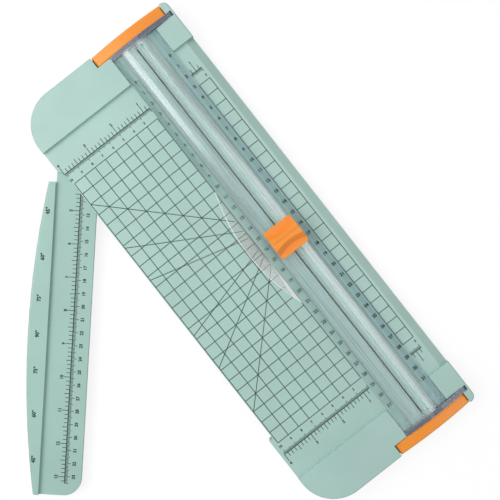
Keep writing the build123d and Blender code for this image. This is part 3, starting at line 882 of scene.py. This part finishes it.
@dataclass
class BaseTray:
    """The green tray, with the grid, the angle lines and the scales printed on its bed."""

    bed_top: float = 12.0
    grid_left: float = -100.0
    grid_right: float = -20.0
    grid_far: float = 124.2
    grid_near: float = -125.8
    cell: float = 10.0
    strip_left: float = 20.5
    strip_right: float = 30.5
    line: float = 0.58
    scale_line: float = 0.7
    far_scale: float = 134.2
    near_scale: float = -135.8
    scale_left: float = -101.6
    inch_ticks: tuple[float, float, float] = (3.6, 5.0, 6.2)
    inch_figures: tuple[int, ...] = (-4, -3, -2, -1, 1)
    inch_figure: float = 2.6
    inch_row: float = 8.0
    millimetre_ticks: tuple[float, float, float] = (2.0, 2.5, 3.2)
    centimetre_figures: tuple[int, ...] = (-10, -9, -8, -7, -6, -5, -4, -3)
    centimetre_figure: float = 2.21
    centimetre_row: float = 6.6
    strip_figure: tuple[int, float] = (3, 29.6)
    angles_from_square: tuple[int, ...] = (45, 30, 15, -15, -30, -45)
    angle_centre: float = 4.2
    angle_end: float = -22.0

    def build(self) -> None:
        """Dress the tray and print its bed."""
        dress("base_tray", GREEN)
        dress("cutting_strip", DARK)
        bed = Printing("bed", "base", self.bed_top, Matrix.Translation((cut_line(), 0, 0)))
        self.print_grid(bed)
        self.print_angles(bed)
        self.print_scale(bed, self.far_scale, 1)
        self.print_scale(bed, self.near_scale, -1)
        bed.finish()

    def print_grid(self, bed: Printing) -> None:
        """Print the grid on the bed, and its narrow strip beyond the rail.

        Args:
            bed: The bed's printing.
        """
        columns = round((self.grid_right - self.grid_left) / self.cell)
        for number in range(columns + 1):
            across = self.grid_left + number * self.cell
            bed.bar("grid_long", (across, self.grid_near), (across, self.grid_far), self.line)
        for across in (self.strip_left, self.strip_right):
            bed.bar("grid_long", (across, self.grid_near), (across, self.grid_far), self.line)
        rows = round((self.grid_far - self.grid_near) / self.cell)
        for number in range(rows + 1):
            along = self.grid_near + number * self.cell
            bed.bar("grid_cross", (self.grid_left, along), (self.grid_right, along), self.line)
            bed.bar("grid_cross", (self.strip_left, along), (self.strip_right, along), self.line)

    def print_angles(self, bed: Printing) -> None:
        """Print the lines at 45, 60 and 75 degrees to the cut.

        Args:
            bed: The bed's printing.
        """
        for degrees in self.angles_from_square:
            slope = -math.tan(math.radians(degrees))
            start = (self.angle_end, self.angle_centre + slope * self.angle_end)
            end = (self.grid_left, self.angle_centre + slope * self.grid_left)
            bed.bar("angles", start, end, self.line)

    def print_scale(self, bed: Printing, along: float, outward: int) -> None:
        """Print the scale at one end of the bed: eighths of an inch outward, millimetres inward.

        Args:
            bed: The bed's printing.
            along: Where its base line lies.
            outward: 1 at the far end and -1 at the near end.
        """
        stretches = ((self.scale_left, self.grid_right), (self.strip_left, self.strip_right))
        for left, right in stretches:
            bed.bar("scales", (left, along), (right, along), self.scale_line)
            for unit, way, lengths in (
                (Unit.EIGHTH_INCH, outward, self.inch_ticks),
                (Unit.MILLIMETRE, -outward, self.millimetre_ticks),
            ):
                for reading, rank in unit.ticks(left / unit.whole, right / unit.whole):
                    across = reading * unit.whole
                    bed.bar("ticks", (across, along), (across, along + way * lengths[rank]), unit.stroke)
        outer = along + outward * self.inch_row
        for number in self.inch_figures:
            across = number * Unit.EIGHTH_INCH.whole
            bed.figure("figures", str(abs(number)), (across, outer), self.inch_figure)
        inner = along - outward * self.centimetre_row
        places = [(number, number * Unit.MILLIMETRE.whole) for number in self.centimetre_figures]
        for number, across in (*places, self.strip_figure):
            bed.figure("figures", str(abs(number)), (across, inner), self.centimetre_figure)


@dataclass
class RulerArm:
    """The green ruler under the bed, with its scale and the angles on its grip."""

    top: float = 9.2
    grip_top: float = 12.0
    pivot_across: float = -87.3
    pivot_along: float = 139.0
    swing_degrees: float = -41.38
    scale_line: float = 4.8
    zero: float = -87.3
    first: float = 110.0
    first_figure: float = 124.0
    last: float = 335.0
    # Distance down the ruler, distance across it towards the grip, and the angle printed there.
    grip_angles: tuple[tuple[float, float, int], ...] = (
        (41.0, 18.9, 45),
        (76.0, 20.9, 60),
        (107.5, 21.9, 75),
        (134.8, 21.6, 90),
        (162.3, 21.3, 75),
        (195.5, 20.7, 60),
        (230.0, 19.3, 45),
    )
    angle_height: float = 3.4
    line: float = 0.75
    inch_ticks: tuple[float, float, float] = (3.0, 4.0, 5.0)
    inch_row: float = -1.9
    millimetre_ticks: tuple[float, float, float] = (2.2, 3.0, 3.9)
    centimetre_row: float = 11.4
    figure: float = 2.7
    figure_turn: float = 90.0

    def build(self) -> None:
        """Dress the ruler with its washer and screw, and print it."""
        dress("ruler_arm", RULER_GREEN_SHADED)
        dress("ruler_washer", STEEL)
        dress("ruler_screw", STEEL)
        pivot = Matrix.Translation((cut_line() + self.pivot_across, self.pivot_along, 0))
        place = pivot @ Matrix.Rotation(math.radians(self.swing_degrees), 4, "Z")
        blade = Printing("ruler", "ruler", self.top, place)
        self.print_scale(blade)
        blade.finish()
        grip = Printing("ruler_grip", "ruler", self.grip_top, place)
        for distance, inset, degrees in self.grip_angles:
            grip.figure("angles", f"{degrees}°", (-inset, -distance), self.angle_height, self.figure_turn)
        grip.finish()

    def print_scale(self, blade: Printing) -> None:
        """Print inches towards the grip and centimetres towards the front edge.

        Args:
            blade: The ruler's printing.
        """
        ends = [-(reading + self.zero) for reading in (self.first, self.last)]
        blade.bar("scale", (self.scale_line, ends[0]), (self.scale_line, ends[1]), self.line)
        for unit, way, lengths, row in (
            (Unit.EIGHTH_INCH, -1, self.inch_ticks, self.inch_row),
            (Unit.MILLIMETRE, 1, self.millimetre_ticks, self.centimetre_row),
        ):
            for reading, rank in unit.ticks(self.first / unit.whole, self.last / unit.whole):
                along = -(reading * unit.whole + self.zero)
                reach = self.scale_line + way * lengths[rank]
                blade.bar("ticks", (self.scale_line, along), (reach, along), unit.stroke)
                if rank == FIGURE_RANK and reading * unit.whole > self.first_figure:
                    blade.figure("figures", str(round(reading)), (row, along), self.figure, self.figure_turn)


@dataclass
class ClearRail:
    """The clear rail with its two rows of centimetres."""

    flange_top: float = 14.4
    first_along: float = 155.3
    figures: int = 32
    left_row: float = -15.9
    right_row: float = 17.0
    figure: float = 2.8
    tick_line: float = 0.3
    left_ticks: tuple[float, float] = (-12.7, -14.2)
    right_ticks: tuple[float, float] = (12.7, 14.2)
    tick_shares: tuple[float, float, float] = (0.6, 0.8, 1.0)

    def build(self) -> None:
        """Dress the rail and its hinge pins, and print both flanges."""
        dress("clear_rail", CLEAR)
        for node in ("hinge_pin_far", "hinge_pin_near"):
            dress(node, STEEL)
        rail = Printing("rail", "rail", self.flange_top, Matrix.Translation((cut_line(), 0, 0)))
        for number in range(self.figures):
            along = self.first_along - number * Unit.MILLIMETRE.whole
            rail.figure("left_figures", str(number), (self.left_row, along), self.figure)
            rail.figure("right_figures", str(number), (self.right_row, along), self.figure)
        for reading, rank in Unit.MILLIMETRE.ticks(0, self.figures - 1):
            along = self.first_along - reading * Unit.MILLIMETRE.whole
            for start, end in (self.left_ticks, self.right_ticks):
                reach = start + (end - start) * self.tick_shares[rank]
                rail.bar("ticks", (start, along), (reach, along), self.tick_line)
        rail.finish(left_figures=WORN_INK, ticks=WORN_INK)


@dataclass
class EndArms:
    """The orange arms that hold the two ends of the rail."""

    nodes: tuple[str, ...] = ("end_arm_far", "end_arm_near")

    def build(self) -> None:
        """Dress both arms."""
        for node in self.nodes:
            dress(node, ORANGE)


@dataclass
class Cutter:
    """The sliding cutter: white guide, orange cap and blade holder, steel blade, pin and springs."""

    springs: tuple[str, ...] = ("press_spring_left", "press_spring_right")
    wire: float = 0.3
    wire_steps: int = 2
    turns: int = 4
    closed_turns: float = 0.5
    points_per_turn: int = 32
    travel: float = 3.0

    def build(self) -> None:
        """Dress the cutter's nodes and wind its springs."""
        dress("cutter_guide", WHITE)
        for node in ("cutter_cap", "blade_carrier"):
            dress(node, ORANGE)
        for node in ("cutting_blade", "blade_pin"):
            dress(node, STEEL)
        for node in self.springs:
            self.wind_spring(node)

    def wind_spring(self, node: str) -> None:
        """Wind a press spring with closed ends.

        Args:
            node: The solid that the spring stands for.
        """
        low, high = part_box(node)
        middle = (low + high) / 2
        wire = self.wire * MM
        radius = (high.x - low.x) / 2 - wire
        name = f"{node}_coil"
        curve = bpy.data.curves.new(name, "CURVE")
        curve.dimensions = "3D"
        curve.bevel_depth = wire
        curve.bevel_resolution = self.wire_steps
        curve.use_fill_caps = True
        line = curve.splines.new("POLY")
        line.points.add(self.turns * self.points_per_turn)
        for number, point in enumerate(line.points):
            turn = number / self.points_per_turn
            angle = math.tau * turn
            share = (turn - self.closed_turns) / (self.turns - 2 * self.closed_turns)
            height = low.z + wire + (high.z - low.z - 2 * wire) * min(1.0, max(0.0, share))
            point.co = (middle.x + radius * math.cos(angle), middle.y + radius * math.sin(angle), height, 1.0)
        coil = add_piece(name, mesh_of(curve), "cutter", STEEL)
        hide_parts(node)
        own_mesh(coil)


@dataclass
class Feet:
    """The four rubber feet."""

    nodes: tuple[str, ...] = ("foot_far_left", "foot_far_right", "foot_near_left", "foot_near_right")

    def build(self) -> None:
        """Dress the feet."""
        for node in self.nodes:
            dress(node, RUBBER)


class Outline(Enum):
    """Outline of a lit panel, with the share of its width times its height that it fills."""

    RECTANGLE = 1.0
    ELLIPSE = math.pi / 4


@dataclass(frozen=True)
class Panel:
    """A lit panel, placed from the cut line; its back points away from what it lights."""

    place: tuple[float, float, float]
    back: tuple[float, float, float]
    width: float
    height: float
    outline: Outline
    brightness: float
    only_gloss: bool = False

    @property
    def power(self) -> float:
        """Watts that give the panel its brightness."""
        return self.brightness * math.pi * self.width * self.height * self.outline.value


class Softbox(Enum):
    """The studio's panels: the lamp that lights the part, and two cards that only glossy surfaces show."""

    LAMP = Panel((-0.46, 0.42, 0.78), (-0.46, 0.42, 0.78), 0.90, 0.90, Outline.ELLIPSE, 2.6)
    LEFT_CARD = Panel(
        (-0.545, 0.63, 0.84), (-0.545, 0.0, 0.84), 0.80, 1.30, Outline.ELLIPSE, 2.1, only_gloss=True
    )
    RIGHT_CARD = Panel(
        (2.4, -0.2, 1.2), (0.0, 0.0, 1.0), 4.4, 1.05, Outline.RECTANGLE, 1.8, only_gloss=True
    )


@dataclass
class Studio:
    """A white table under soft light, with the camera straight above."""

    camera_place: tuple[float, float, float] = (89.4, 2.4, 562.0)
    camera_turn: float = -38.14
    view_angle: float = 38.06
    sky: float = 0.53
    floor_size: float = 8.0
    floor_glow: float = 0.84
    floor_grey: float = 0.2

    def build(self) -> None:
        """Set up the table, the light and the camera."""
        bpy.context.scene.view_settings.view_transform = "Standard"
        self.add_floor()
        self.add_sky()
        for softbox in Softbox:
            self.add_lamp(softbox)
        self.add_camera()

    def white_rays(self, tree: bpy.types.NodeTree) -> Socket:
        """Tell the rays that see the background as white.

        Args:
            tree: The node tree that asks.

        Returns:
            1 for rays of the camera, of gloss and through glass, and 0 for the rest.
        """
        path = tree.nodes.new("ShaderNodeLightPath")
        seen = path.outputs["Is Camera Ray"]
        for ray in ("Is Glossy Ray", "Is Transmission Ray"):
            both = tree.nodes.new("ShaderNodeMath")
            both.operation = "MAXIMUM"
            tree.links.new(seen, both.inputs[0])
            tree.links.new(path.outputs[ray], both.inputs[1])
            seen = both.outputs[0]
        return seen

    def add_floor(self) -> None:
        """Lay the white table that keeps a faint shadow."""
        half = self.floor_size / 2
        mesh = bpy.data.meshes.new("table")
        corners = [(-half, -half, 0), (half, -half, 0), (half, half, 0), (-half, half, 0)]
        mesh.from_pydata(corners, [], [(0, 1, 2, 3)])
        floor = bpy.data.objects.new("table", mesh)
        bpy.context.scene.collection.objects.link(floor)
        material = bpy.data.materials.new("table_white")
        material.use_nodes = True
        tree = material.node_tree
        surface = tree.nodes["Principled BSDF"]
        surface.inputs["Base Color"].default_value = (self.floor_grey,) * 3 + (1.0,)
        surface.inputs["Roughness"].default_value = 1.0
        surface.inputs["Specular IOR Level"].default_value = 0.0
        glow = tree.nodes.new("ShaderNodeMath")
        glow.operation = "MULTIPLY"
        glow.inputs[1].default_value = self.floor_glow
        tree.links.new(self.white_rays(tree), glow.inputs[0])
        surface.inputs["Emission Color"].default_value = (1.0, 1.0, 1.0, 1.0)
        tree.links.new(glow.outputs[0], surface.inputs["Emission Strength"])
        mesh.materials.append(material)

    def add_sky(self) -> None:
        """Light everything softly from all round."""
        world = bpy.data.worlds.new("studio")
        world.use_nodes = True
        bpy.context.scene.world = world
        tree = world.node_tree
        background = tree.nodes["Background"]
        background.inputs["Color"].default_value = (1.0, 1.0, 1.0, 1.0)
        level = tree.nodes.new("ShaderNodeMapRange")
        level.inputs["To Min"].default_value = self.sky
        tree.links.new(self.white_rays(tree), level.inputs["Value"])
        tree.links.new(level.outputs["Result"], background.inputs["Strength"])

    def add_lamp(self, softbox: Softbox) -> None:
        """Hang one panel.

        Args:
            softbox: Which panel.
        """
        panel = softbox.value
        lamp = bpy.data.lights.new(f"softbox_{softbox.name.lower()}", "AREA")
        lamp.shape = panel.outline.name
        lamp.size = panel.width
        lamp.size_y = panel.height
        lamp.energy = panel.power
        holder = bpy.data.objects.new(lamp.name, lamp)
        bpy.context.scene.collection.objects.link(holder)
        holder.location = Vector((cut_line() * MM, 0, 0)) + Vector(panel.place)
        holder.rotation_euler = Vector(panel.back).to_track_quat("Z", "Y").to_euler()
        holder.visible_diffuse = not panel.only_gloss
        holder.visible_transmission = not panel.only_gloss
        holder.visible_glossy = panel.only_gloss

    def add_camera(self) -> None:
        """Put the camera straight above the bed."""
        camera = bpy.data.cameras.new("camera")
        camera.angle = math.radians(self.view_angle)
        holder = bpy.data.objects.new("camera", camera)
        holder.location = [v * MM for v in self.camera_place]
        holder.rotation_euler = (0, 0, math.radians(self.camera_turn))
        bpy.context.scene.collection.objects.link(holder)
        bpy.context.scene.camera = holder


def main() -> None:
    """Build every sub-assembly's looks, then the studio."""
    logging.basicConfig(level=logging.INFO, format="%(message)s")
    for assembly in (BaseTray(), RulerArm(), ClearRail(), EndArms(), Cutter(), Feet(), Studio()):
        assembly.build()
        LOG.info("%s is done", type(assembly).__name__)


if __name__ == "__main__":
    main()
